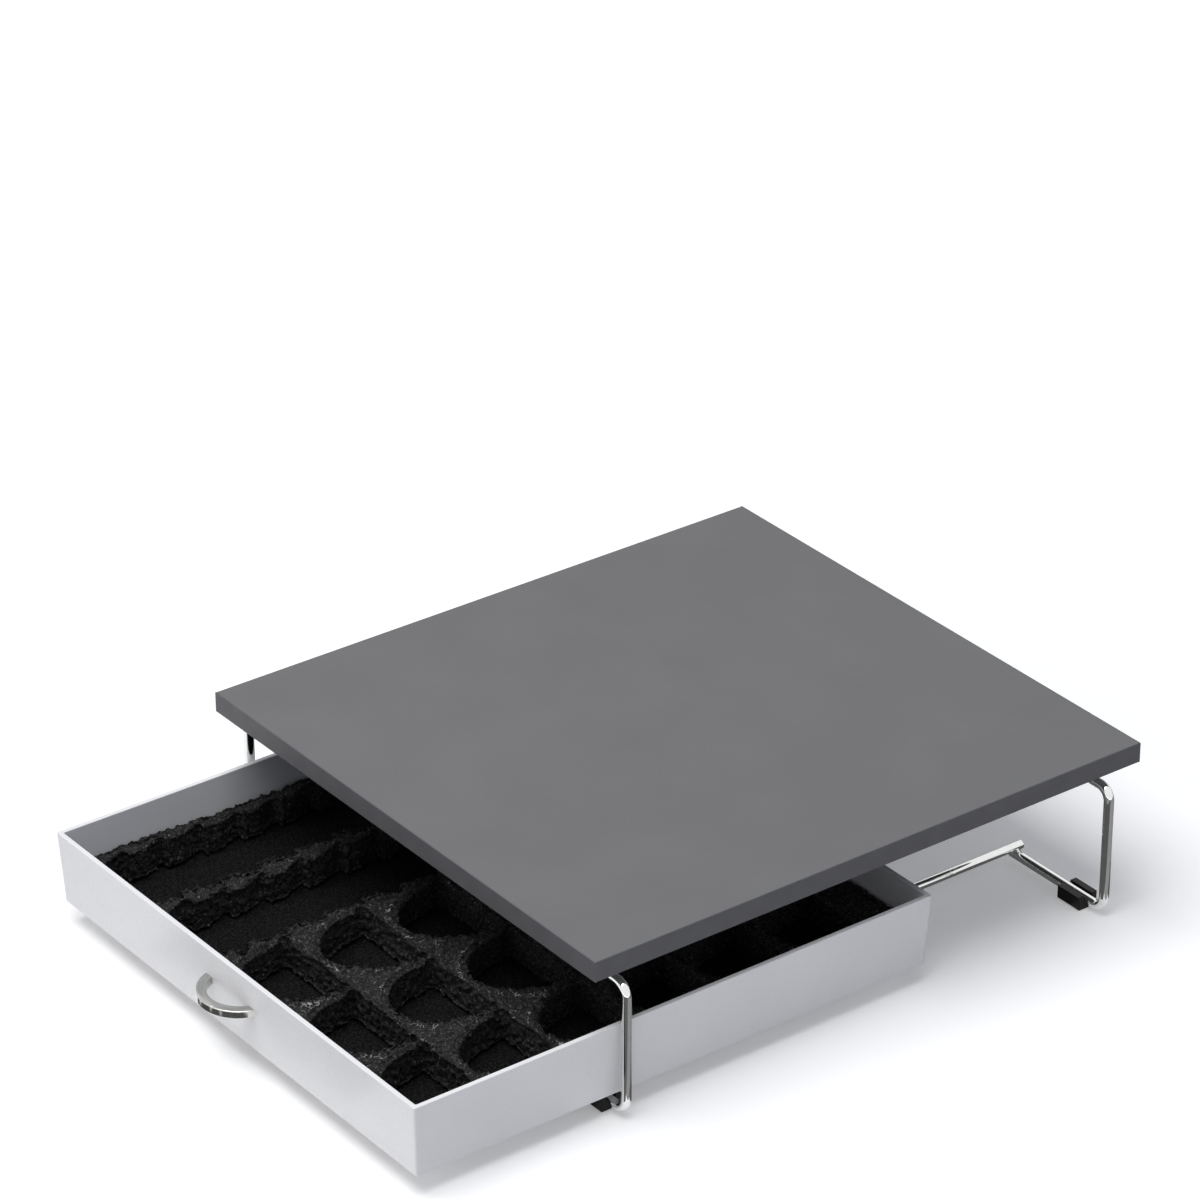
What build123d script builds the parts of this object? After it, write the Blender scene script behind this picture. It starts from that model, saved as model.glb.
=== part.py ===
from build123d import *

import os
from math import radians, sqrt, tan

# Coffee pod drawer: a laminated board on two bent wire legs, and a moulded tray that slides under it on two
# wire rails. Millimetres. X runs across the drawer, +Y to the back and +Z up. Z = 0 is under the feet.
# The tray is modelled pulled out by `opening`, and the origin is the middle of the whole plan at that place.

# Board
board_depth = 387.0
board_thickness = 12.6
edge_band = 0.8
edge_break = 0.4

# Wire legs and rails
leg_rod = 6.0
rail_rod = 5.2
loop_height = 85.5  # outside the rod
board_gap = 8.0  # from the legs' top bars up to the board
leg_overhang = 2.2  # outside the board's edge
bend_radius = 8.0  # to the middle of the rod
leg_inset = 21.5  # from the board's edge to the middle of the rod
rail_spacing = 210.0
rail_overhang = 4.0  # past the middle of the leg's foot bars
bar_overhang = 4.0  # of the foot bars, past the middle of a rail
weld_sink = 0.1  # a rail's set-down into a foot bar
weld_clearance = 0.02
weld_width = 5.0
rod_end_chamfer = 0.5

# Feet
foot_length = 19.0
foot_width = 14.0
foot_height = 9.0
foot_under_rod = 2.8
foot_end_gap = 16.2  # from the leg's outside to the foot's end
foot_top_round = 3.0
foot_sole_round = 1.5
foot_end_round = 0.8
foot_clearance = 0.05

# Snap clamps between the board and the legs' top bars
clamp_spacing = 230.0
clamp_width = 14.0
clamp_wall = 2.2  # round the bar
clamp_ear = 10.0
clamp_ear_thickness = 2.4
clamp_corner = 3.0
clamp_root_round = 1.0
clamp_mouth = 4.6
clamp_lip_round = 0.5
clamp_clearance = 0.05

# Screws
wood_screw = 3.5
wood_screw_length = 10.0
wood_screw_head = 7.0
wood_screw_head_height = 2.4
wood_screw_point = 3.0
pilot_spare = 1.0  # pilot hole past the screw's point
machine_screw = 3.0
machine_screw_head = 5.6
screw_clearance = 0.08

# Tray
tray_height = 44.9
tray_wall = 3.1
tray_floor = 2.0
tray_draft = 3.0  # degrees
tray_corner = 1.4
tray_inner_corner = 1.0
rim_round = 0.5
slide_clearance = 0.3
leg_clearance = 2.0  # between the tray's rim and a leg
opening = 114.0  # from the board's front edge to the tray's front rim

# Bow handle
bow_width = 48.2  # across its ends
bow_reach = 17.0  # past the tray's rim
bow_band = 6.0
bow_thickness = 4.6
bow_height = 25.2  # from the tray's underside to the middle of the bow
bow_edge = 0.6
bow_screw_grip = 4.2

# Foam insert
foam_base = 1.5  # solid sheet under the cut foam
foam_thickness = 22.1
foam_clearance = 0.3
pocket_width = 61.5  # the slot for a pod's rim
rim_slot = 3.6
dome_width = 57.0
column_web = 5.1  # foam between two columns
side_margin = 12.25  # from the tray's rim to the outer columns
back_margin = 32.2  # from the last rim slot to the tray's rim
thick_columns = 3
thick_rows = 6
thick_dome_length = 40.0
thick_row_web = 9.2
thick_front_margin = 14.0  # from the tray's rim to the first pocket
flat_columns = 2
flat_rows = 12
flat_dome_length = 21.5
flat_row_web = 1.0
flat_front_margin = 11.5  # from the tray's rim to the first pocket
flat_channel = 50.0

# Hooks under the tray
hook_length = 12.0
hook_wall = 3.2
hook_lip = 2.2
hook_lip_reach = 4.6  # under the rail
hook_boss = 10.0
hook_boss_height = 6.5
hook_side_clearance = 0.5
hook_round = 0.8
hook_screw_length = 8.0
rear_hook_inset = 6.0  # from the tray's back rim
hook_pitch = 62.0

# Worked out from the sizes above: the pockets set the tray's size, and the tray sets the width of the rest.
column_pitch = pocket_width + column_web
thick_pitch = thick_dome_length + rim_slot + thick_row_web
flat_pitch = flat_dome_length + rim_slot + flat_row_web
tray_width = (flat_columns + thick_columns) * column_pitch - column_web + 2 * side_margin
tray_depth = thick_front_margin + thick_rows * thick_pitch - thick_row_web + back_margin
loop_width = tray_width + 2 * (leg_clearance + leg_rod)
board_width = loop_width - 2 * leg_overhang
board_front = (opening + bow_reach - board_depth) / 2
board_back = board_front + board_depth
board_middle = (board_front + board_back) / 2
top_bar_z = foot_under_rod + loop_height - leg_rod / 2
board_bottom = foot_under_rod + loop_height + board_gap
leg_front = board_front + leg_inset
leg_back = board_back - leg_inset
leg_x = (loop_width - leg_rod) / 2
cross_z = foot_under_rod + leg_rod / 2
rail_x = rail_spacing / 2
rail_z = cross_z + (leg_rod + rail_rod) / 2 - weld_sink
tray_bottom = rail_z + rail_rod / 2 + slide_clearance
tray_top = tray_bottom + tray_height
tray_front = board_front - opening
tray_back = tray_front + tray_depth
tray_middle = (tray_front + tray_back) / 2
lean = tan(radians(tray_draft))
floor_top = tray_bottom + tray_floor
foam_bottom = floor_top + foam_base + foam_clearance
foam_top = foam_bottom + foam_thickness
bow_z = tray_bottom + bow_height

os.makedirs("parts", exist_ok=True)


# The board's core, with a blind pilot hole for each clamp screw.
clamp_places = [(side * clamp_spacing / 2, leg) for leg in (leg_front, leg_back) for side in (-1, 1)]
clamp_hole = leg_rod / 2 + clamp_clearance
clamp_body = clamp_hole + clamp_wall
ear_middle = clamp_body + clamp_ear / 2
clamp_screw_places = [(x, y + side * ear_middle) for x, y in clamp_places for side in (-1, 1)]
pilot_depth = wood_screw_length - clamp_ear_thickness + pilot_spare
core_width = board_width - 2 * edge_band
core_depth = board_depth - 2 * edge_band

with BuildPart() as top_board:
    with BuildSketch(Plane.XY.offset(board_bottom)):
        with Locations((0, board_middle)):
            Rectangle(core_width, core_depth)
    extrude(amount=board_thickness)
    with BuildSketch(Plane.XY.offset(board_bottom)):
        with Locations(*clamp_screw_places):
            Circle(wood_screw / 2 + screw_clearance)
    extrude(amount=pilot_depth, mode=Mode.SUBTRACT)
top_board.part.label = "top_board"
export_step(top_board.part, "parts/top_board.step")


# The edge bands: the front and rear ones cover the ends of the side ones.
band_plans = {
    "front": (0, board_front + edge_band / 2, board_width, edge_band, Axis.Y, 0),
    "rear": (0, board_back - edge_band / 2, board_width, edge_band, Axis.Y, -1),
    "left": ((edge_band - board_width) / 2, board_middle, edge_band, core_depth, Axis.X, 0),
    "right": ((board_width - edge_band) / 2, board_middle, edge_band, core_depth, Axis.X, -1),
}
for side, (x, y, width, depth, outward, place) in band_plans.items():
    with BuildPart() as band:
        with BuildSketch(Plane.XY.offset(board_bottom)):
            with Locations((x, y)):
                Rectangle(width, depth)
        extrude(amount=board_thickness)
        outer_face = band.faces().sort_by(outward)[place]
        fillet(outer_face.edges().filter_by(Axis.Z, reverse=True), edge_break)
    band.part.label = f"{side}_edge_band"
    export_step(band.part, f"parts/{side}_edge_band.step")


# The leg loops: one rod each, bent down at both ends of a top bar, and then in to a short foot bar on each
# side. They are open between the foot bars.
bar_end = rail_x - bar_overhang
left_leg = [(-bar_end, cross_z), (-leg_x, cross_z), (-leg_x, top_bar_z)]
right_leg = [(leg_x, top_bar_z), (leg_x, cross_z), (bar_end, cross_z)]
for end, y in (("front", leg_front), ("rear", leg_back)):
    with BuildPart() as leg_loop:
        with BuildLine(Plane.XZ.offset(-y)) as rod_line:
            FilletPolyline(*left_leg, *right_leg, radius=bend_radius)
        with BuildSketch(Plane(origin=rod_line.line @ 0, z_dir=rod_line.line % 0)):
            Circle(leg_rod / 2)
        sweep()
        chamfer(leg_loop.faces().filter_by(GeomType.PLANE).edges(), rod_end_chamfer)
    leg_loop.part.label = f"{end}_leg_loop"
    export_step(leg_loop.part, f"parts/{end}_leg_loop.step")


# The rails: straight rods set down on the ends of the front and rear foot bars, and welded there.
rail_length = leg_back - leg_front + 2 * rail_overhang
for side, x in (("left", -rail_x), ("right", rail_x)):
    with BuildPart() as rail:
        with BuildSketch(Plane.XZ.offset(rail_overhang - leg_front)):
            with Locations((x, rail_z)):
                Circle(rail_rod / 2)
        extrude(amount=-rail_length)
        chamfer(rail.edges(), rod_end_chamfer)
        with Locations((x, leg_front, cross_z), (x, leg_back, cross_z)):
            Cylinder(leg_rod / 2 + weld_clearance, 2 * rail_rod, rotation=(0, 90, 0), mode=Mode.SUBTRACT)
    rail.part.label = f"{side}_rail"
    export_step(rail.part, f"parts/{side}_rail.step")


# The welds: the metal pressed out round each place where a rail crosses a foot bar.
weld_places = [(x, y) for y in (leg_front, leg_back) for x in (-rail_x, rail_x)]
with BuildPart() as rail_welds:
    with BuildSketch(Plane.XY.offset(cross_z)):
        with Locations(*weld_places):
            Circle(weld_width / 2)
    extrude(amount=rail_z - cross_z)
    with Locations(*[(x, y, cross_z) for x, y in weld_places]):
        Cylinder(leg_rod / 2 + weld_clearance, 2 * rail_rod, rotation=(0, 90, 0), mode=Mode.SUBTRACT)
    with Locations(*[(x, y, rail_z) for x, y in weld_places]):
        Cylinder(rail_rod / 2 + weld_clearance, 2 * leg_rod, rotation=(90, 0, 0), mode=Mode.SUBTRACT)
rail_welds.part.label = "rail_welds"
export_step(rail_welds.part, "parts/rail_welds.step")


# The feet: open channels with rounded backs, pushed up over the foot bars next to the bends.
foot_x = loop_width / 2 - foot_end_gap - foot_length / 2
foot_slot = leg_rod + 2 * foot_clearance
for end, y in (("front", leg_front), ("rear", leg_back)):
    for side, x in (("left", -foot_x), ("right", foot_x)):
        with BuildPart() as foot:
            with BuildSketch(Plane.YZ.offset(x)):
                with Locations((y, 0)):
                    Rectangle(foot_width, foot_height, align=(Align.CENTER, Align.MIN))
                    corners = vertices().group_by(Axis.Y)
                    fillet(corners[0], foot_sole_round)
                    fillet(corners[-1], foot_top_round)
            extrude(amount=foot_length / 2, both=True)
            fillet(foot.faces().filter_by(Axis.X).edges(), foot_end_round)
            with BuildSketch(Plane.YZ.offset(x)):
                with Locations((y, cross_z)):
                    Circle(foot_slot / 2)
                    Rectangle(foot_slot, foot_height, align=(Align.CENTER, Align.MIN))
            extrude(amount=foot_length, both=True, mode=Mode.SUBTRACT)
        foot.part.label = f"{end}_{side}_foot"
        export_step(foot.part, f"parts/{end}_{side}_foot.step")


# The clamps: moulded blocks under the board that snap over the top bars, with an ear on each side.
ear_span = 2 * (clamp_body + clamp_ear)
for end, y in (("front", leg_front), ("rear", leg_back)):
    for side, x in (("left", -clamp_spacing / 2), ("right", clamp_spacing / 2)):
        with BuildPart() as clamp:
            with BuildSketch(Plane.YZ.offset(x)):
                with Locations((y, top_bar_z)):
                    Circle(clamp_body)
                    Rectangle(2 * clamp_body, board_bottom - top_bar_z, align=(Align.CENTER, Align.MIN))
                    Circle(clamp_hole, mode=Mode.SUBTRACT)
                    Rectangle(clamp_mouth, clamp_body, align=(Align.CENTER, Align.MAX), mode=Mode.SUBTRACT)
                fillet(vertices().group_by(Axis.Y)[0], clamp_lip_round)
                with Locations((y, board_bottom)):
                    Rectangle(ear_span, clamp_ear_thickness, align=(Align.CENTER, Align.MAX))
            extrude(amount=clamp_width / 2, both=True)
            ear_ends = clamp.faces().filter_by(Axis.Y).sort_by(Axis.Y)
            ear_corners = ear_ends[0].edges().filter_by(Axis.Z) + ear_ends[-1].edges().filter_by(Axis.Z)
            fillet(ear_corners, clamp_corner)
            ear_edges = clamp.edges().filter_by(Axis.X).group_by(Axis.Z)[-2].sort_by(Axis.Y)
            fillet(ear_edges[1:-1], clamp_root_round)
            with BuildSketch(Plane.XY.offset(board_bottom)):
                with Locations((x, y - ear_middle), (x, y + ear_middle)):
                    Circle(wood_screw / 2 + screw_clearance)
            extrude(amount=-clamp_ear_thickness, mode=Mode.SUBTRACT)
        clamp.part.label = f"{end}_{side}_clamp"
        export_step(clamp.part, f"parts/{end}_{side}_clamp.step")


# The clamp screws: pan heads under the ears, points up in the board.
shank_top = board_bottom - clamp_ear_thickness + wood_screw_length - wood_screw_point
with BuildPart() as clamp_screws:
    with BuildSketch(Plane.XY.offset(board_bottom - clamp_ear_thickness)):
        with Locations(*clamp_screw_places):
            Circle(wood_screw_head / 2)
    extrude(amount=-wood_screw_head_height)
    fillet(clamp_screws.faces().group_by(Axis.Z)[0].edges(), wood_screw_head_height / 2)
    with BuildSketch(Plane.XY.offset(board_bottom - clamp_ear_thickness)):
        with Locations(*clamp_screw_places):
            Circle(wood_screw / 2)
    extrude(amount=wood_screw_length - wood_screw_point)
    with Locations(*[(x, y, shank_top) for x, y in clamp_screw_places]):
        Cone(wood_screw / 2, 0, wood_screw_point, align=(Align.CENTER, Align.CENTER, Align.MIN))
clamp_screws.part.label = "clamp_screws"
export_step(clamp_screws.part, "parts/clamp_screws.step")


# The tray: drafted walls on a flat floor, with countersunk holes for the hook and handle screws.
inner_width = tray_width - 2 * tray_wall
inner_depth = tray_depth - 2 * tray_wall
hook_screw_x = rail_x - rail_rod / 2 - hook_side_clearance - hook_wall - hook_boss / 2
hook_middles = {
    "rear": tray_back - rear_hook_inset - hook_length / 2,
    "front": tray_back - rear_hook_inset - hook_length / 2 - hook_pitch,
}
hook_screw_places = [(side * hook_screw_x, y) for y in hook_middles.values() for side in (-1, 1)]
front_face_y = tray_front + (tray_top - bow_z) * lean
bow_tip = tray_front - bow_reach
bow_rise = front_face_y - bow_tip
bow_radius = (bow_width**2 / 4 + bow_rise**2) / (2 * bow_rise)
bow_centre_y = bow_tip + bow_radius
bow_middle_radius = bow_radius - bow_band / 2
bow_root = sqrt(bow_middle_radius**2 - (bow_centre_y - front_face_y) ** 2)
bow_at_grip = sqrt(bow_middle_radius**2 - (bow_centre_y - front_face_y + bow_screw_grip) ** 2)
handle_screw_x = (bow_root + bow_at_grip) / 2
inner_face_y = front_face_y + tray_wall
head_tilt = machine_screw_head / 2 * lean
screw_hole = machine_screw / 2 + screw_clearance
head_hole = machine_screw_head / 2 + screw_clearance

with BuildPart() as drawer_tray:
    with BuildSketch(Plane.XY.offset(tray_top)):
        with Locations((0, tray_middle)):
            Rectangle(tray_width, tray_depth)
    extrude(amount=-tray_height, taper=tray_draft)
    fillet(drawer_tray.edges().filter_by(Plane.XY, reverse=True), tray_corner)
    with BuildSketch(Plane.XY.offset(tray_top)):
        with Locations((0, tray_middle)):
            Rectangle(inner_width, inner_depth)
    extrude(amount=tray_floor - tray_height, taper=tray_draft, mode=Mode.SUBTRACT)
    fillet(drawer_tray.edges(Select.LAST).filter_by(Plane.XY, reverse=True), tray_inner_corner)
    fillet(drawer_tray.faces().sort_by(Axis.Z)[-1].edges(), rim_round)
    with Locations(*[(x, y, floor_top) for x, y in hook_screw_places]):
        CounterSinkHole(screw_hole, head_hole, depth=2 * tray_floor)
    head_plane = Plane(origin=(0, inner_face_y - head_tilt, bow_z), x_dir=(1, 0, 0), z_dir=(0, 1, 0))
    with Locations(head_plane):
        with Locations((-handle_screw_x, 0), (handle_screw_x, 0)):
            CounterSinkHole(screw_hole, head_hole, depth=2 * tray_wall)
drawer_tray.part.label = "drawer_tray"
export_step(drawer_tray.part, "parts/drawer_tray.step")


# The bow handle: a flat arc whose two ends stand on the leaning front wall, drilled for their screws.
front_face = Plane(origin=(0, front_face_y, bow_z), x_dir=(1, 0, 0), z_dir=(0, -1, -lean))
with BuildPart() as bow_handle:
    with BuildSketch(Plane.XY.offset(bow_z - bow_thickness / 2)):
        with Locations((0, bow_centre_y)):
            Circle(bow_radius)
            Circle(bow_radius - bow_band, mode=Mode.SUBTRACT)
    extrude(amount=bow_thickness)
    fillet(bow_handle.edges(), bow_edge)
    split(bisect_by=front_face, keep=Keep.TOP)
    with Locations(Plane(origin=(0, front_face_y, bow_z), x_dir=(1, 0, 0), z_dir=(0, -1, 0))):
        with Locations((-handle_screw_x, 0), (handle_screw_x, 0)):
            Cylinder(screw_hole, 2 * bow_screw_grip, mode=Mode.SUBTRACT)
bow_handle.part.label = "bow_handle"
export_step(bow_handle.part, "parts/bow_handle.step")


# Countersunk screws: a cone under a flat head, and a plain shank.
def countersunk_screws(name, plane, places, length):
    """Screws that point along -Z of the plane, with their heads' flats on it."""
    head_depth = (machine_screw_head - machine_screw) / 2
    with BuildPart() as screws:
        with Locations(plane):
            with Locations(*places):
                Cone(
                    machine_screw / 2,
                    machine_screw_head / 2,
                    head_depth,
                    align=(Align.CENTER, Align.CENTER, Align.MAX),
                )
                Cylinder(machine_screw / 2, length, align=(Align.CENTER, Align.CENTER, Align.MAX))
    screws.part.label = name
    export_step(screws.part, f"parts/{name}.step")


handle_screw_length = tray_wall - head_tilt + bow_screw_grip - screw_clearance
handle_screw_places = [(-handle_screw_x, 0), (handle_screw_x, 0)]
countersunk_screws("handle_screws", head_plane, handle_screw_places, handle_screw_length)
countersunk_screws("hook_screws", Plane.XY.offset(floor_top), hook_screw_places, hook_screw_length)


# The hooks: each hangs beside a rail on a screwed boss, and its lip reaches under the rail.
wall_face = rail_rod / 2 + hook_side_clearance
lip_top = rail_z - rail_rod / 2 - slide_clearance
lip_bottom = lip_top - hook_lip
boss_bottom = tray_bottom - hook_boss_height
hook_profile = [
    (wall_face, tray_bottom),
    (wall_face, lip_top),
    (wall_face - hook_lip_reach, lip_top),
    (wall_face - hook_lip_reach, lip_bottom),
    (wall_face + hook_wall, lip_bottom),
    (wall_face + hook_wall, boss_bottom),
    (wall_face + hook_wall + hook_boss, boss_bottom),
    (wall_face + hook_wall + hook_boss, tray_bottom),
]
for end, y in hook_middles.items():
    for side, sign in (("left", -1), ("right", 1)):
        with BuildPart() as hook:
            with BuildSketch(Plane.XZ.offset(-y)):
                with BuildLine():
                    Polyline(*[(sign * (rail_x - inward), z) for inward, z in hook_profile], close=True)
                make_face()
            extrude(amount=hook_length / 2, both=True)
            fillet(hook.edges().filter_by(Axis.Y).group_by(Axis.Z)[0], hook_round)
            with BuildSketch(Plane.XY.offset(tray_bottom)):
                with Locations((sign * hook_screw_x, y)):
                    Circle(screw_hole)
            extrude(amount=-hook_boss_height, mode=Mode.SUBTRACT)
        hook.part.label = f"{end}_{side}_hook"
        export_step(hook.part, f"parts/{end}_{side}_hook.step")


# The foam insert: a slab cut through with a pocket for each pod, which is a slot for the rim and half an
# ellipse in front of it. Thick pods stand in three columns. Flat pods stand so close together in the other
# two that a channel joins their pockets, and leaves a pair of teeth between each pod and the next.
def pocket_plan(dome_length):
    """One pocket, with the front of its rim slot on the origin."""
    with BuildSketch() as pocket:
        with BuildLine():
            dome = EllipticalCenterArc((0, 0), dome_width / 2, dome_length, start_angle=180, arc_size=180)
            Line(dome @ 1, dome @ 0)
        make_face()
        Rectangle(pocket_width, rim_slot, align=(Align.CENTER, Align.MIN))
    return pocket.sketch


first_column = -(flat_columns + thick_columns - 1) / 2 * column_pitch
column_places = [first_column + column_pitch * column for column in range(flat_columns + thick_columns)]
flat_x = column_places[:flat_columns]
thick_x = column_places[flat_columns:]
flat_first = tray_front + flat_front_margin + flat_dome_length
flat_y = [flat_first + flat_pitch * row for row in range(flat_rows)]
thick_first = tray_front + thick_front_margin + thick_dome_length
thick_y = [thick_first + thick_pitch * row for row in range(thick_rows)]
foam_wall_gap = tray_wall + foam_clearance + (tray_top - foam_top) * lean
thick_pocket = pocket_plan(thick_dome_length)
flat_pocket = pocket_plan(flat_dome_length)

with BuildPart() as foam_insert:
    with BuildSketch(Plane.XY.offset(foam_top)):
        with Locations((0, tray_middle)):
            Rectangle(tray_width - 2 * foam_wall_gap, tray_depth - 2 * foam_wall_gap)
    extrude(amount=-foam_thickness, taper=tray_draft)
    fillet(foam_insert.edges().filter_by(Plane.XY, reverse=True), tray_inner_corner)
    with BuildSketch(Plane.XY.offset(foam_top)):
        with Locations(*[(x, y) for x in thick_x for y in thick_y]):
            add(thick_pocket)
        with Locations(*[(x, y) for x in flat_x for y in flat_y]):
            add(flat_pocket)
        with Locations(*[(x, flat_first) for x in flat_x]):
            Rectangle(flat_channel, flat_y[-1] - flat_first, align=(Align.CENTER, Align.MIN))
    extrude(amount=-foam_thickness, mode=Mode.SUBTRACT)
foam_insert.part.label = "foam_insert"
export_step(foam_insert.part, "parts/foam_insert.step")


# The sheet that the cut foam is glued to, which closes the pockets' bottoms.
base_wall_gap = tray_wall + foam_clearance + (tray_top - foam_bottom) * lean
with BuildPart() as foam_base_sheet:
    with BuildSketch(Plane.XY.offset(foam_bottom)):
        with Locations((0, tray_middle)):
            Rectangle(tray_width - 2 * base_wall_gap, tray_depth - 2 * base_wall_gap)
    extrude(amount=-foam_base, taper=tray_draft)
    fillet(foam_base_sheet.edges().filter_by(Plane.XY, reverse=True), tray_inner_corner)
foam_base_sheet.part.label = "foam_base_sheet"
export_step(foam_base_sheet.part, "parts/foam_base_sheet.step")
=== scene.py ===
from math import pi, radians

import bmesh
import bpy
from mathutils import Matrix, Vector


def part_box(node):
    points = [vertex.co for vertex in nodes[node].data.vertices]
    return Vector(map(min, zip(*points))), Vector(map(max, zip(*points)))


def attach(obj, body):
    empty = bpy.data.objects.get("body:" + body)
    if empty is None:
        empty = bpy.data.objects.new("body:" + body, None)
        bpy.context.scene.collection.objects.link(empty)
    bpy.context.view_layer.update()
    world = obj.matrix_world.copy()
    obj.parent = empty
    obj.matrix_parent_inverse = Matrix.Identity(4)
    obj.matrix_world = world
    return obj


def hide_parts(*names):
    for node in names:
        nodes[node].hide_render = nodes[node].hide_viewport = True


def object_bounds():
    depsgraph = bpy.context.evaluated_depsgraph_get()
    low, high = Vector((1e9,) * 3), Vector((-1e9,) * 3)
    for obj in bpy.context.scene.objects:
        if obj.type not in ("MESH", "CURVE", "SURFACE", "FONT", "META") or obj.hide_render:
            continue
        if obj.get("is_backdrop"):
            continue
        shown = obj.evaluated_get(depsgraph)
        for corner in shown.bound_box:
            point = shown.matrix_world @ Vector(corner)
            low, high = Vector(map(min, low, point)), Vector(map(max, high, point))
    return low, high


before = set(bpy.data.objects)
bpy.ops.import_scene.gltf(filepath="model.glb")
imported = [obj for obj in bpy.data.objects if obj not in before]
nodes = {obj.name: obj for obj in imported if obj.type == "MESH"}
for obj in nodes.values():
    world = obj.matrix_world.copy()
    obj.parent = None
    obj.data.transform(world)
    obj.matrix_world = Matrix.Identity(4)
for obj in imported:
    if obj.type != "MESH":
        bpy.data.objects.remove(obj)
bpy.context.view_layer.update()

scene = bpy.context.scene


# The camera: a long lens a little over three metres off, level, looking down on the drawer's right front
# corner.
camera_turn = radians(53.0)
camera_height = radians(28.48)
camera = bpy.data.objects.new("camera", bpy.data.cameras.new("camera"))
camera.data.lens = 161.53
camera.data.sensor_width = 36.0
camera.data.clip_start = 0.1
camera.data.clip_end = 60.0
camera.location = (2.1086, -1.5765, 1.6348)
camera.rotation_euler = (pi / 2 - camera_height, 0.0, camera_turn)
scene.collection.objects.link(camera)
scene.camera = camera
scene.view_settings.view_transform = "Standard"


# The studio: a dim room, a little brighter in front and cooler on the right. The camera and the polished
# metal see it white.
def add_node(tree, kind, inputs=None, **settings):
    """A new node. An input is a value, or the output that feeds it."""
    node = tree.nodes.new(kind)
    for name, value in settings.items():
        setattr(node, name, value)
    for socket, value in (inputs or {}).items():
        if isinstance(value, bpy.types.NodeSocket):
            tree.links.new(value, node.inputs[socket])
        else:
            node.inputs[socket].default_value = value
    return node


def math(tree, operation, first, second=0.0):
    """One sum, as a node's output."""
    return add_node(tree, "ShaderNodeMath", {0: first, 1: second}, operation=operation).outputs[0]


def between(tree, factor, *stops):
    """The colour or grey between stops of (position, colour), as a ramp."""
    ramp = add_node(tree, "ShaderNodeValToRGB", {"Fac": factor})
    marks = ramp.color_ramp.elements
    while len(marks) < len(stops):
        marks.new(0.5)
    for mark, (position, colour) in zip(marks, stops):
        mark.position = position
        mark.color = (*colour, 1.0) if isinstance(colour, tuple) else (colour, colour, colour, 1.0)
    return ramp.outputs["Color"]


white = (1, 1, 1, 1)
front_left = (-0.35, -0.75, 0.55)
cool_grey = (0.18, 0.195, 0.245)
front_grey = (0.35, 0.35, 0.36)

room = bpy.data.worlds.new("room")
room.use_nodes = True
room_tree = room.node_tree
room_tree.nodes.clear()
direction = add_node(room_tree, "ShaderNodeTexCoord").outputs["Generated"]
towards_front = add_node(
    room_tree, "ShaderNodeVectorMath", {0: direction, 1: front_left}, operation="DOT_PRODUCT"
).outputs["Value"]
room_colour = between(room_tree, towards_front, (0.0, cool_grey), (0.9, front_grey))
room_light = add_node(room_tree, "ShaderNodeBackground", {"Color": room_colour, "Strength": 1.0})
room_white = add_node(room_tree, "ShaderNodeBackground", {"Color": white, "Strength": 1.0})
ray = add_node(room_tree, "ShaderNodeLightPath").outputs
seen = math(room_tree, "MAXIMUM", ray["Is Camera Ray"], ray["Is Glossy Ray"])
seen_or_through = math(room_tree, "MAXIMUM", seen, ray["Is Transmission Ray"])
room_mix = add_node(
    room_tree,
    "ShaderNodeMixShader",
    {0: seen_or_through, 1: room_light.outputs[0], 2: room_white.outputs[0]},
)
add_node(room_tree, "ShaderNodeOutputWorld", {"Surface": room_mix.outputs[0]})
scene.world = room


# The softbox: one wide diffuser hung over the front of the drawer. It gives most of the light, and the soft
# shadow behind the stand.
softbox = bpy.data.objects.new("softbox", bpy.data.lights.new("softbox", "AREA"))
softbox.data.shape = "RECTANGLE"
softbox.data.size = 2.0
softbox.data.size_y = 1.6
softbox.data.energy = 44.0
softbox.location = (0.05, -0.62, 2.15)
softbox.rotation_euler = (Vector((0, 0, 0)) - softbox.location).to_track_quat("-Z", "Y").to_euler()
scene.collection.objects.link(softbox)


# The floor: a plain white sweep, matt. It keeps the drawer's shadow, and fades to the white of the backdrop
# further out.
floor_white_colour = (0.90, 0.90, 0.90, 1)
fade_from, fade_to = 0.36, 1.45
near_lift, far_lift = 0.24, 0.95
floor_edge = 9.0


def flat_sheet(name, low_corner, high_corner, z, material):
    """A level rectangle with a finish, as scenery."""
    (x0, y0), (x1, y1) = low_corner, high_corner
    mesh = bpy.data.meshes.new(name)
    mesh.from_pydata([(x0, y0, z), (x1, y0, z), (x1, y1, z), (x0, y1, z)], [], [(0, 1, 2, 3)])
    mesh.materials.append(material)
    sheet = bpy.data.objects.new(name, mesh)
    scene.collection.objects.link(sheet)
    sheet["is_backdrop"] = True
    return sheet


def bare_material(name):
    """A material with no nodes yet."""
    material = bpy.data.materials.new(name)
    material.use_nodes = True
    material.node_tree.nodes.clear()
    return material, material.node_tree


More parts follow.
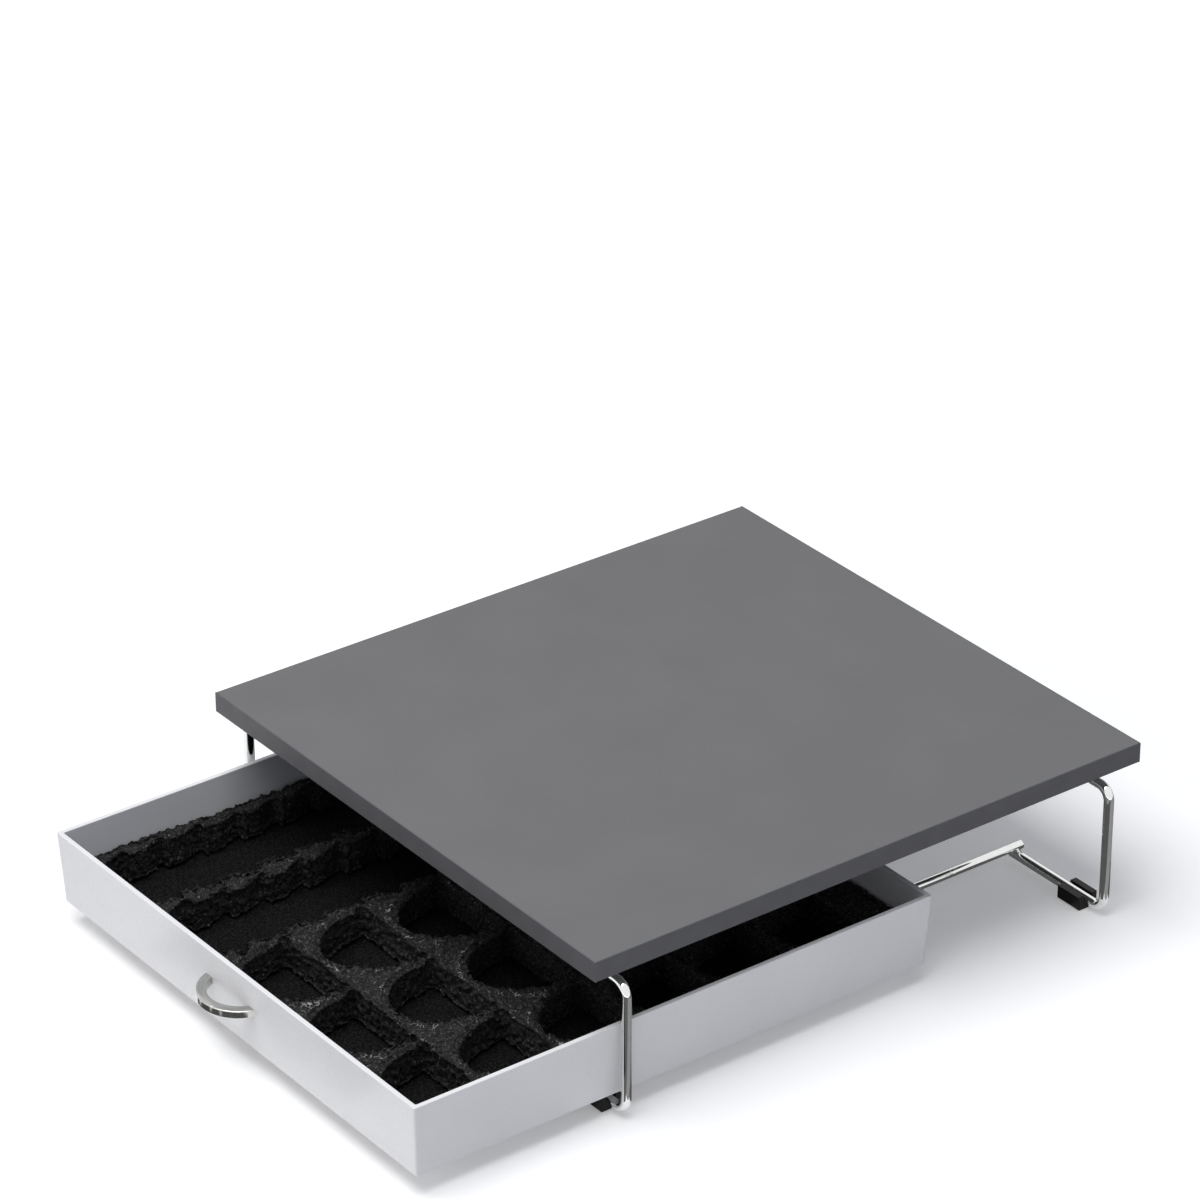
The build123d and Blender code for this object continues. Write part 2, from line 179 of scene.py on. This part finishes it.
floor_white, floor_tree = bare_material("floor_white")
floor_place = add_node(floor_tree, "ShaderNodeTexCoord").outputs["Object"]
floor_distance = add_node(floor_tree, "ShaderNodeVectorMath", {0: floor_place}, operation="LENGTH")
floor_fade = add_node(
    floor_tree,
    "ShaderNodeMapRange",
    {
        "Value": floor_distance.outputs["Value"],
        "From Min": fade_from,
        "From Max": fade_to,
        "To Min": near_lift,
        "To Max": far_lift,
    },
    interpolation_type="SMOOTHSTEP",
).outputs["Result"]
ray = add_node(floor_tree, "ShaderNodeLightPath").outputs
floor_seen = math(floor_tree, "MAXIMUM", ray["Is Camera Ray"], ray["Is Glossy Ray"])
floor_lift = math(floor_tree, "MULTIPLY", floor_seen, floor_fade)
floor_paint = add_node(floor_tree, "ShaderNodeBsdfDiffuse", {"Color": floor_white_colour})
floor_glow = add_node(floor_tree, "ShaderNodeEmission", {"Color": white, "Strength": floor_lift})
floor_sum = add_node(floor_tree, "ShaderNodeAddShader", {0: floor_paint.outputs[0], 1: floor_glow.outputs[0]})
add_node(floor_tree, "ShaderNodeOutputMaterial", {"Surface": floor_sum.outputs[0]})
flat_sheet("floor", (-floor_edge, -floor_edge), (floor_edge, floor_edge), 0.0, floor_white)


# The painted reflections: glowing dark and grey sheets laid on the floor round the legs and before the bow, a
# darker slip by the front right leg, and three white slips at the bow that paint its highlights. They are no
# lamps,
# and only polished metal sees them: they paint the dark lines down the chrome. Each is its low corner, high
# corner, height and grey.
painted_reflections = (
    ((-0.12, -0.36), (0.08, -0.262), 0.0004, 0.10),
    ((0.183, -0.6), (0.9, -0.125), 0.0004, 0.12),
    ((0.183, -0.30), (0.216, -0.150), 0.0010, 0.02),
    ((-0.16, -0.125), (0.16, 0.26), 0.0004, 0.10),
    ((-1.0, -0.09), (1.0, 0.215), 0.0004, 0.10),
    ((-1.0, 0.26), (1.0, 1.2), 0.0004, 0.10),
    ((0.205, -0.125), (0.9, 0.10), 0.0008, 0.30),
    ((0.205, 0.215), (0.9, 0.9), 0.0008, 0.30),
    ((-0.5, 0.30), (0.205, 0.9), 0.0008, 0.22),
    ((-0.073, -0.303), (-0.058, -0.278), 0.0008, 1.20),
    ((-0.027, -0.340), (-0.018, -0.312), 0.0008, 1.00),
    ((0.012, -0.340), (0.019, -0.312), 0.0008, 0.80),
)
for number, (low_corner, high_corner, z, grey) in enumerate(painted_reflections):
    reflection_paint, reflection_tree = bare_material(f"painted_reflection_grey_{number}")
    # each sheet glows at its grey though it is no lamp: a painted reflection for the chrome
    reflection_glow = add_node(reflection_tree, "ShaderNodeEmission", {"Color": white, "Strength": grey})
    add_node(reflection_tree, "ShaderNodeOutputMaterial", {"Surface": reflection_glow.outputs[0]})
    reflection_paint.cycles.emission_sampling = "NONE"
    painted_reflection_sheet = flat_sheet(f"card_{number}", low_corner, high_corner, z, reflection_paint)
    painted_reflection_sheet.visible_camera = painted_reflection_sheet.visible_diffuse = painted_reflection_sheet.visible_shadow = painted_reflection_sheet.visible_transmission = False


# The board: particle board with a matt grey laminate pressed on it, which has a fine pebbled grain. The
# clamps under it are screwed up into its core.
def new_finish(name, **sockets):
    """A material with one Principled shader. Returns it with its tree, shader and place in the row frame."""
    material = bpy.data.materials.new(name)
    material.use_nodes = True
    tree = material.node_tree
    shader = tree.nodes["Principled BSDF"]
    for socket, value in sockets.items():
        shader.inputs[socket.replace("_", " ")].default_value = value
    place = tree.nodes.new("ShaderNodeTexCoord").outputs["Object"]
    return material, tree, shader, place


def noise(tree, place, size, detail=2.0, roughness=0.5, distortion=0.0):
    """Noise whose lumps are about `size` metres across."""
    inputs = {
        "Vector": place,
        "Scale": 1 / size,
        "Detail": detail,
        "Roughness": roughness,
        "Distortion": distortion,
    }
    return add_node(tree, "ShaderNodeTexNoise", inputs).outputs["Fac"]


def vary(tree, shader, socket, pattern, *stops):
    """Drives one of the shader's sockets by a pattern, between stops of (position, colour)."""
    tree.links.new(between(tree, pattern, *stops), shader.inputs[socket])


def bump(tree, shader, height, depth):
    """Raises the shader's surface by `depth` metres where `height` is 1."""
    node = add_node(tree, "ShaderNodeBump", {"Height": height, "Distance": depth})
    tree.links.new(node.outputs["Normal"], shader.inputs["Normal"])


def put_on(material, *names):
    """Gives CAD nodes this finish."""
    for name in names:
        mesh = nodes[name].data
        mesh.materials.clear()
        mesh.materials.append(material)


cloud_size = 0.060
pebble_size, board_pebble_depth = 0.0006, 0.00005
laminate, tree, shader, place = new_finish("grey_laminate", Roughness=0.5, Specular_IOR_Level=0.25)
cloud = noise(tree, place, cloud_size, detail=3)
vary(tree, shader, "Base Color", cloud, (0.30, (0.138, 0.138, 0.140)), (0.70, (0.150, 0.150, 0.152)))
pebble = noise(tree, place, pebble_size)
vary(tree, shader, "Roughness", pebble, (0.35, 0.44), (0.65, 0.56))
bump(tree, shader, pebble, board_pebble_depth)
put_on(laminate, "top_board")


# The edge bands: thin strips of a darker laminate, which close the sawn edges of the particle board. Each is
# ironed on one of its four edges.
streak_size, band_pebble_depth = 0.012, 0.00004
band, tree, shader, place = new_finish("edge_band_laminate", Roughness=0.5, Specular_IOR_Level=0.25)
streak = noise(tree, place, streak_size, detail=3)
vary(tree, shader, "Base Color", streak, (0.30, (0.114, 0.114, 0.121)), (0.70, (0.126, 0.126, 0.133)))
pebble = noise(tree, place, pebble_size)
vary(tree, shader, "Roughness", pebble, (0.35, 0.44), (0.65, 0.56))
bump(tree, shader, pebble, band_pebble_depth)
put_on(band, *[f"{edge}_edge_band" for edge in ("front", "rear", "left", "right")])


# The legs and rails: round steel wire, bent and chrome plated. Each leg is one wire, and the two rails are
# welded on the ends of its foot bars.
wire_haze_size = 0.004
chrome, tree, shader, place = new_finish("chrome_plate", Metallic=1.0, Roughness=0.05)
haze = noise(tree, place, wire_haze_size, detail=3)
vary(tree, shader, "Base Color", haze, (0.3, (0.78, 0.79, 0.78)), (0.7, (0.84, 0.85, 0.84)))
vary(tree, shader, "Roughness", haze, (0.35, 0.03), (0.75, 0.08))
put_on(chrome, "front_leg_loop", "rear_leg_loop", "left_rail", "right_rail", "rail_welds")


# The bow handle: die-cast zinc, polished and chrome plated, a little rougher than the wire. Its colour is
# painted much darker than the wire's, as painted shade that dims its reflections. The polishing wheel leaves
# fine lines along its arc.
bow_radius = 0.0253
wheel_line_width = 0.0008
shaded_bow_chrome, tree, shader, place = new_finish("shaded_chrome_bow", Metallic=1.0, Roughness=0.10)
parts = add_node(tree, "ShaderNodeSeparateXYZ", {"Vector": place}).outputs
sideways = parts["X"]
forward = math(tree, "SUBTRACT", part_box("bow_handle")[0].y + bow_radius, parts["Y"])
turn = math(tree, "ARCTAN2", sideways, forward)
squares = math(tree, "ADD", math(tree, "POWER", sideways, 2.0), math(tree, "POWER", forward, 2.0))
from_middle = math(tree, "SQRT", squares)
across_arc = math(tree, "DIVIDE", from_middle, wheel_line_width)
along_arc = add_node(tree, "ShaderNodeCombineXYZ", {"X": across_arc, "Y": turn}).outputs[0]
wheel_lines = noise(tree, along_arc, 1.0, detail=3, roughness=0.6)
# painted shade: the chrome's colour is kept dark so its reflections stay mid-grey; the wheel lines vary it
vary(tree, shader, "Base Color", wheel_lines, (0.36, (0.40, 0.40, 0.39)), (0.64, (0.60, 0.60, 0.58)))
vary(tree, shader, "Roughness", wheel_lines, (0.35, 0.06), (0.65, 0.16))
put_on(shaded_bow_chrome, "bow_handle")


# The tray: white ABS, moulded with thin drafted walls, satin outside. The foam lies in it, and the hooks are
# screwed up under its floor.
swirl_size = 0.035
skin_size, skin_depth = 0.0009, 0.00002
tray_white, tree, shader, place = new_finish("satin_white_plastic", Roughness=0.3)
swirl = noise(tree, place, swirl_size)
vary(tree, shader, "Base Color", swirl, (0.3, (0.815, 0.815, 0.823)), (0.7, (0.835, 0.835, 0.843)))
skin = noise(tree, place, skin_size)
vary(tree, shader, "Roughness", skin, (0.3, 0.26), (0.7, 0.36))
bump(tree, shader, skin, skin_depth)
put_on(tray_white, "drawer_tray")


# The feet: black rubber channels with a fine grain, moulded. Each is clipped over a foot bar, next to the
# leg's bend.
corners = [f"{end}_{side}" for end in ("front", "rear") for side in ("left", "right")]
grain_size, grain_depth = 0.0008, 0.00006
rubber, tree, shader, place = new_finish("black_rubber", Roughness=0.4, Specular_IOR_Level=0.2)
grain = noise(tree, place, grain_size, detail=3)
vary(tree, shader, "Base Color", grain, (0.3, (0.004, 0.004, 0.004)), (0.7, (0.008, 0.008, 0.008)))
vary(tree, shader, "Roughness", grain, (0.3, 0.32), (0.7, 0.48))
bump(tree, shader, grain, grain_depth)
put_on(rubber, *[f"{corner}_foot" for corner in corners])


# The hooks: black nylon, moulded, each held up under the tray by one screw. They reach under the rails, so
# that the drawer can't tip, and stop it at both ends of its travel.
mould_size, mould_depth = 0.0012, 0.00004
nylon, tree, shader, place = new_finish("black_nylon", Roughness=0.35)
mould = noise(tree, place, mould_size)
vary(tree, shader, "Base Color", mould, (0.3, (0.014, 0.014, 0.015)), (0.7, (0.020, 0.020, 0.021)))
bump(tree, shader, mould, mould_depth)
put_on(nylon, *[f"{corner}_hook" for corner in corners])


# The clamps: the same black nylon, moulded in blocks, each snapped over a leg's top bar. Two screws hold
# each block up under the board.
put_on(nylon, *[f"{corner}_clamp" for corner in corners])


# The foam insert: coarse black open-cell foam, cut through with half-oval pockets and two long troughs. The
# cuts crumble, the top sags a little, and it swells in a soft lip round each pocket. Painted highlights, as
# rare bright specks and as bright dashes in the creases outside the lips, are added to its colour.
merge_distance = 1e-6
foam_object = bpy.data.objects.new("pod_foam", nodes["foam_insert"].data.copy())
scene.collection.objects.link(foam_object)
foam_shell = bmesh.new()
foam_shell.from_mesh(foam_object.data)
bmesh.ops.remove_doubles(foam_shell, verts=foam_shell.verts, dist=merge_distance)
foam_shell.to_mesh(foam_object.data)
foam_shell.free()
foam_object.data.materials.clear()

crumb_grain_size, crumb_bump = 0.0015, 0.0022
glint_gap = 0.0009
squiggle_size, patch_size = 0.0045, 0.0110
foam, tree, shader, place = new_finish("open_cell_foam", Roughness=0.75, Specular_IOR_Level=0.3)
crumbs = noise(tree, place, crumb_grain_size, detail=3, roughness=0.7)
crumb_grey = between(tree, crumbs, (0.42, 0.003), (0.53, 0.013), (0.63, 0.075))
# painted highlights: rare cells picked at random get a bright speck in the colour
glint_cells = add_node(tree, "ShaderNodeTexVoronoi", {"Vector": place, "Scale": 1 / glint_gap})
glint_pick = add_node(tree, "ShaderNodeSeparateColor", {"Color": glint_cells.outputs["Color"]}).outputs["Red"]
painted_speck_glint = between(tree, glint_pick, (0.975, 0.0), (0.999, 0.16))
# painted highlights: bright dashes in the creases outside the lips
crease = add_node(tree, "ShaderNodeAttribute", attribute_name="crease").outputs["Fac"]
squiggle_lines = noise(tree, place, squiggle_size, detail=1)
squiggles = between(tree, squiggle_lines, (0.465, 0.0), (0.50, 0.55), (0.535, 0.0))
patches = between(tree, noise(tree, place, patch_size, detail=1), (0.50, 0.0), (0.60, 1.0))
painted_crease_glint = math(tree, "MULTIPLY", crease, math(tree, "MULTIPLY", squiggles, patches))
# all the painted highlights, added to the foam's grey
painted_glints = math(tree, "ADD", painted_speck_glint, painted_crease_glint)
tree.links.new(math(tree, "ADD", crumb_grey, painted_glints), shader.inputs["Base Color"])
bump(tree, shader, crumbs, crumb_bump)


def new_tree(name, sizes):
    """A Geometry Nodes tree that takes a mesh, its sizes and a finish. Returns it with its inputs."""
    tree = bpy.data.node_groups.new(name, "GeometryNodeTree")
    tree.interface.new_socket("Geometry", in_out="INPUT", socket_type="NodeSocketGeometry")
    for size in sizes:
        tree.interface.new_socket(size, in_out="INPUT", socket_type="NodeSocketFloat")
    tree.interface.new_socket("Finish", in_out="INPUT", socket_type="NodeSocketMaterial")
    tree.interface.new_socket("Geometry", in_out="OUTPUT", socket_type="NodeSocketGeometry")
    return tree, add_node(tree, "NodeGroupInput").outputs


def end_tree(tree, shape, finish):
    """Ends a tree: its shape made real, with its finish."""
    real = add_node(tree, "GeometryNodeRealizeInstances", {"Geometry": shape})
    painted = add_node(
        tree, "GeometryNodeSetMaterial", {"Geometry": real.outputs["Geometry"], "Material": finish}
    )
    add_node(tree, "NodeGroupOutput", {"Geometry": painted.outputs["Geometry"]})


foam_sizes = {
    "Top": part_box("foam_insert")[1].z,
    "Sag Depth": 0.0014,
    "Sag Size": 0.030,
    "Sag Reach": 0.012,
    "Lip Height": 0.0016,
    "Lip Distance": 0.0055,
    "Lip Width": 0.0025,
    "Tear Depth": 0.0017,
    "Tear Size": 0.0034,
    "Crumb Depth": 0.0017,
    "Crumb Size": 0.0021,
    "Crease Distance": 0.0078,
    "Crease Width": 0.0009,
    "Crease Reach": 0.002,
}
foam_tree, given = new_tree("crumbled_foam", foam_sizes)

# the outlines of the pockets: half ellipses, in three columns of six
columns, rows = 3, 6
column_pitch, row_pitch = 0.0666, 0.0528
pocket_half_width, pocket_length = 0.0285, 0.0400
tray_front_to_first_row = 0.054
first_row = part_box("drawer_tray")[0].y + tray_front_to_first_row
middle_row = first_row + (rows - 1) / 2 * row_pitch
half_ring = add_node(
    foam_tree,
    "GeometryNodeCurveArc",
    {"Resolution": 24, "Radius": 1.0, "Start Angle": pi, "Sweep Angle": pi},
)
ring = add_node(
    foam_tree,
    "GeometryNodeTransform",
    {"Geometry": half_ring.outputs["Curve"], "Scale": (pocket_half_width, pocket_length, 1.0)},
)
pocket_grid = add_node(
    foam_tree,
    "GeometryNodeMeshGrid",
    {
        "Size X": (columns - 1) * column_pitch,
        "Size Y": (rows - 1) * row_pitch,
        "Vertices X": columns,
        "Vertices Y": rows,
    },
)
pocket_rings = add_node(
    foam_tree,
    "GeometryNodeInstanceOnPoints",
    {"Points": pocket_grid.outputs["Mesh"], "Instance": ring.outputs["Geometry"]},
)
placed_rings = add_node(
    foam_tree,
    "GeometryNodeTransform",
    {
        "Geometry": pocket_rings.outputs["Instances"],
        "Translation": (column_pitch, middle_row, foam_sizes["Top"]),
    },
)
real_rings = add_node(
    foam_tree, "GeometryNodeRealizeInstances", {"Geometry": placed_rings.outputs["Geometry"]}
)
ring_wires = add_node(foam_tree, "GeometryNodeCurveToMesh", {"Curve": real_rings.outputs["Geometry"]})

# how far each point is from the nearest outline, seen from above, and how far below the top
point = add_node(foam_tree, "GeometryNodeInputPosition").outputs["Position"]
parts = add_node(foam_tree, "ShaderNodeSeparateXYZ", {"Vector": point}).outputs
flat_point = add_node(
    foam_tree, "ShaderNodeCombineXYZ", {"X": parts["X"], "Y": parts["Y"], "Z": given["Top"]}
).outputs[0]
from_outline = add_node(
    foam_tree,
    "GeometryNodeProximity",
    {"Geometry": ring_wires.outputs["Mesh"], "Sample Position": flat_point},
    target_element="EDGES",
).outputs["Distance"]
below_top = math(foam_tree, "SUBTRACT", given["Top"], parts["Z"])

# the crease, where painted highlights go: 1 in its middle, and fading to 0 over one and a half widths, or as
# many reaches down
crease_fade = 1.5
off_crease = math(foam_tree, "SUBTRACT", from_outline, given["Crease Distance"])
off_crease = math(foam_tree, "ABSOLUTE", math(foam_tree, "DIVIDE", off_crease, given["Crease Width"]))
under_crease = math(foam_tree, "DIVIDE", below_top, given["Crease Reach"])
off_crease = math(foam_tree, "ADD", off_crease, under_crease)
crease_left = math(foam_tree, "SUBTRACT", crease_fade, off_crease)
crease_here = add_node(foam_tree, "ShaderNodeClamp", {"Value": crease_left})
crease_marked_foam = add_node(
    foam_tree,
    "GeometryNodeStoreNamedAttribute",
    {"Geometry": given["Geometry"], "Name": "crease", "Value": crease_here.outputs[0]},
)


def lumps(size, detail):
    """Noise from about -1 to 1 whose lumps have that size."""
    scale = math(foam_tree, "DIVIDE", 1.0, size)
    texture = add_node(foam_tree, "ShaderNodeTexNoise", {"Vector": point, "Scale": scale, "Detail": detail})
    return math(foam_tree, "MULTIPLY", math(foam_tree, "SUBTRACT", texture.outputs["Fac"], 0.5), 4.0)


# the top sags in lumps and swells in the lips, less and less further down
off_lip = math(foam_tree, "SUBTRACT", from_outline, given["Lip Distance"])
off_lip = math(foam_tree, "DIVIDE", off_lip, given["Lip Width"])
off_lip_squared = math(foam_tree, "MULTIPLY", off_lip, off_lip)
lip = math(foam_tree, "EXPONENT", math(foam_tree, "MULTIPLY", off_lip_squared, -1.0))
lip = math(foam_tree, "MULTIPLY", lip, given["Lip Height"])
sag = math(foam_tree, "MULTIPLY", lumps(given["Sag Size"], 1.0), given["Sag Depth"])
share = math(foam_tree, "SUBTRACT", 1.0, math(foam_tree, "DIVIDE", below_top, given["Sag Reach"]))
share = add_node(foam_tree, "ShaderNodeClamp", {"Value": share}).outputs[0]
up = math(foam_tree, "MULTIPLY", math(foam_tree, "ADD", sag, lip), share)
raised = add_node(foam_tree, "ShaderNodeCombineXYZ", {"Z": up})
raised_foam = add_node(
    foam_tree,
    "GeometryNodeSetPosition",
    {"Geometry": crease_marked_foam.outputs["Geometry"], "Offset": raised.outputs[0]},
)

# the skin is torn and crumbles inwards
tears = math(foam_tree, "MULTIPLY", lumps(given["Tear Size"], 2.0), given["Tear Depth"])
crumb_cells = add_node(
    foam_tree,
    "ShaderNodeTexVoronoi",
    {"Vector": point, "Scale": math(foam_tree, "DIVIDE", 1.0, given["Crumb Size"])},
)
crumb_pits = math(foam_tree, "MULTIPLY", crumb_cells.outputs["Distance"], given["Crumb Depth"])
inwards = math(foam_tree, "SUBTRACT", tears, given["Tear Depth"])
inwards = math(foam_tree, "SUBTRACT", inwards, crumb_pits)
outward = add_node(foam_tree, "GeometryNodeInputNormal").outputs["Normal"]
crumble = add_node(foam_tree, "ShaderNodeVectorMath", {0: outward, "Scale": inwards}, operation="SCALE")
crumbled = add_node(
    foam_tree,
    "GeometryNodeSetPosition",
    {"Geometry": raised_foam.outputs["Geometry"], "Offset": crumble.outputs["Vector"]},
)
smooth = add_node(foam_tree, "GeometryNodeSetShadeSmooth", {"Geometry": crumbled.outputs["Geometry"]})
end_tree(foam_tree, smooth.outputs["Geometry"], given["Finish"])


def shape_by(piece, tree, values):
    """Runs a tree on a piece, with its inputs set by name, and leaves the result as one plain mesh."""
    modifier = piece.modifiers.new("shape", "NODES")
    modifier.node_group = tree
    inputs = [item for item in tree.interface.items_tree if item.in_out == "INPUT"]
    sockets = {item.name: item.identifier for item in inputs}
    for name, value in values.items():
        modifier[sockets[name]] = value
    shaped = piece.evaluated_get(bpy.context.evaluated_depsgraph_get())
    made = bpy.data.meshes.new_from_object(shaped)
    piece.modifiers.clear()
    piece.data = made


block_size = 0.0010
blocks = foam_object.modifiers.new("blocks", "REMESH")
blocks.mode = "VOXEL"
blocks.voxel_size = block_size
shape_by(foam_object, foam_tree, {**foam_sizes, "Finish": foam})
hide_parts("foam_insert")
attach(foam_object, "drawer")


# The base sheet: thin black closed-cell foam, which closes the bottoms of the pockets. It is glued under the
# cut foam. Its colour is painted darker than the cut foam's, as painted shade at the deep pocket bottoms.
cell_size, cell_depth = 0.0014, 0.0020
shaded_base_foam, tree, shader, place = new_finish("shaded_base_foam", Roughness=0.9, Specular_IOR_Level=0.1)
cell = noise(tree, place, cell_size, detail=3, roughness=0.7)
# painted shade: near black, darker than the cut foam, for the deep pocket bottoms
vary(tree, shader, "Base Color", cell, (0.44, 0.001), (0.64, 0.022))
bump(tree, shader, cell, cell_depth)
put_on(shaded_base_foam, "foam_base_sheet")


# The screws: zinc-plated steel with a cross recess. Pan-head wood screws hold the clamps up under the board,
# and countersunk ones run through the tray, down into the hooks and forward into the bow's two ends.
spangle_size = 0.003
zinc, tree, shader, place = new_finish("zinc_plate", Metallic=1.0, Roughness=0.35)
spangle = noise(tree, place, spangle_size, detail=3, distortion=0.6)
vary(tree, shader, "Base Color", spangle, (0.3, (0.50, 0.52, 0.55)), (0.7, (0.66, 0.68, 0.70)))
vary(tree, shader, "Roughness", spangle, (0.3, 0.28), (0.7, 0.42))

# the cross, as shares of the head's width and height
cross_span, cross_width, cross_depth = 0.54, 0.13, 0.55
# a pan head, as shares of its height and rim: a drum under a flattened ball
drum_height, ball_height, ball_rim = 0.5, 0.52, 0.995
# the radius of the core and of the thread, as shares of the shank's width
core_share, crest_share = 0.39, 0.11
# where the shank starts and its thread ends, in head heights below the face
shank_start, thread_end = 0.6, 1.3


def screw_tree(name, turn, sizes, domed=False, pointed=False):
    """The tree that puts a screw on each point of its mesh, turned by `turn`, with its face on the point."""
    tree, size = new_tree(name, sizes)
    head_width, head_height = size["Head Width"], size["Head Height"]

    def times(value, factor):
        return math(tree, "MULTIPLY", value, factor)

    def moved(shape, z, scale=None):
        offset = add_node(tree, "ShaderNodeCombineXYZ", {"Z": z}).outputs[0]
        inputs = {"Geometry": shape, "Translation": offset}
        if scale:
            inputs["Scale"] = add_node(tree, "ShaderNodeCombineXYZ", scale).outputs[0]
        return add_node(tree, "GeometryNodeTransform", inputs).outputs["Geometry"]

    # the head, with its cross
    rim = times(head_width, 0.5)
    cone = add_node(
        tree,
        "GeometryNodeMeshCone",
        {
            "Vertices": 32,
            "Radius Top": rim,
            "Radius Bottom": times(size["Neck Width"], 0.5),
            "Depth": times(head_height, drum_height if domed else 1.0),
        },
    )
    head = moved(cone.outputs["Mesh"], times(head_height, -1.0))
    if domed:
        ball = add_node(tree, "GeometryNodeMeshUVSphere", {"Segments": 32, "Rings": 12, "Radius": 1.0})
        dome_height, dome_rim = times(head_height, ball_height), times(rim, ball_rim)
        dome_scale = {"X": dome_rim, "Y": dome_rim, "Z": dome_height}
        dome = moved(ball.outputs["Mesh"], times(dome_height, -1.0), dome_scale)
        whole = add_node(tree, "GeometryNodeMeshBoolean", operation="UNION", solver="EXACT")
        tree.links.new(head, whole.inputs["Mesh 2"])
        tree.links.new(dome, whole.inputs["Mesh 2"])
        head = whole.outputs["Mesh"]
    recess = add_node(
        tree, "GeometryNodeMeshBoolean", {"Mesh 1": head}, operation="DIFFERENCE", solver="EXACT"
    )
    span, width = times(head_width, cross_span), times(head_width, cross_width)
    for across, along in ((span, width), (width, span)):
        sides = {"X": across, "Y": along, "Z": times(head_height, 2 * cross_depth)}
        bar_size = add_node(tree, "ShaderNodeCombineXYZ", sides).outputs[0]
        bar = add_node(tree, "GeometryNodeMeshCube", {"Size": bar_size})
        tree.links.new(bar.outputs["Mesh"], recess.inputs["Mesh 2"])

    # the shank, with its thread
    core = times(size["Shank Width"], core_share)
    crest_size = times(size["Shank Width"], crest_share)
    start = times(head_height, shank_start)
    end = math(tree, "SUBTRACT", size["Length"], size["Point Length"])
    rod = add_node(
        tree,
        "GeometryNodeMeshCylinder",
        {"Vertices": 24, "Radius": core, "Depth": math(tree, "SUBTRACT", end, start)},
    )
    shank = moved(rod.outputs["Mesh"], times(math(tree, "ADD", start, end), -0.5))
    low_turn = math(tree, "SUBTRACT", end, crest_size)
    run = math(tree, "SUBTRACT", low_turn, times(head_height, thread_end))
    helix = add_node(
        tree,
        "GeometryNodeCurveSpiral",
        {
            "Resolution": 20,
            "Rotations": math(tree, "DIVIDE", run, size["Pitch"]),
            "Start Radius": core,
            "End Radius": core,
            "Height": run,
        },
    )
    crest = add_node(tree, "GeometryNodeCurvePrimitiveCircle", {"Resolution": 4, "Radius": crest_size})
    wound = add_node(
        tree,
        "GeometryNodeCurveToMesh",
        {"Curve": helix.outputs[0], "Profile Curve": crest.outputs["Curve"], "Fill Caps": True},
    )
    shapes = [recess.outputs["Mesh"], shank, moved(wound.outputs["Mesh"], times(low_turn, -1.0))]
    if pointed:
        tip = add_node(
            tree,
            "GeometryNodeMeshCone",
            {"Vertices": 24, "Radius Top": core, "Radius Bottom": 0.0, "Depth": size["Point Length"]},
        )
        shapes.append(moved(tip.outputs["Mesh"], times(size["Length"], -1.0)))
    screw = add_node(tree, "GeometryNodeJoinGeometry")
    for shape in shapes:
        tree.links.new(shape, screw.inputs["Geometry"])
    driven = add_node(
        tree,
        "GeometryNodeInstanceOnPoints",
        {"Points": size["Geometry"], "Instance": screw.outputs["Geometry"], "Rotation": turn},
    )
    end_tree(tree, driven.outputs["Instances"], size["Finish"])
    return tree


def drive_screws(name, node, body, tree, spots, sizes):
    """Makes the screws of one CAD node, with their faces at the spots."""
    mesh = bpy.data.meshes.new(name)
    mesh.from_pydata(spots, [], [])
    piece = bpy.data.objects.new(name, mesh)
    scene.collection.objects.link(piece)
    shape_by(piece, tree, {**sizes, "Finish": zinc})
    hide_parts(node)
    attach(piece, body)


wood_screw = {
    "Head Width": 0.0070,
    "Head Height": 0.0024,
    "Neck Width": 0.0070,
    "Shank Width": 0.0035,
    "Length": 0.0124,
    "Point Length": 0.0030,
    "Pitch": 0.0013,
}
low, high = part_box("clamp_screws")
edge = wood_screw["Head Width"] / 2
ear_spread = 0.0205
spots = [
    (x, y, low.z)
    for x in (low.x + edge, high.x - edge)
    for y in (low.y + edge, low.y + edge + ear_spread, high.y - edge - ear_spread, high.y - edge)
]
head_down = screw_tree("pan_head_screw", (pi, 0.0, 0.0), wood_screw, domed=True, pointed=True)
drive_screws("clamp_pan_screws", "clamp_screws", "stand", head_down, spots, wood_screw)

machine_screw = {
    "Head Width": 0.0056,
    "Head Height": 0.0013,
    "Neck Width": 0.0030,
    "Shank Width": 0.0030,
    "Length": 0.0080,
    "Point Length": 0.0,
    "Pitch": 0.0006,
}
low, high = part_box("hook_screws")
edge = machine_screw["Head Width"] / 2
spots = [(x, y, high.z) for x in (low.x + edge, high.x - edge) for y in (low.y + edge, high.y - edge)]
head_up = screw_tree("countersunk_screw_up", (0.0, 0.0, 0.0), machine_screw)
drive_screws("hook_flat_screws", "hook_screws", "drawer", head_up, spots, machine_screw)

low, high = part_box("handle_screws")
spots = [(x, high.y, (low.z + high.z) / 2) for x in (low.x + edge, high.x - edge)]
head_back = screw_tree("countersunk_screw_back", (-pi / 2, 0.0, 0.0), machine_screw)
handle_screw = {**machine_screw, "Length": high.y - low.y}
drive_screws("handle_flat_screws", "handle_screws", "drawer", head_back, spots, handle_screw)


low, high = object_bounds()
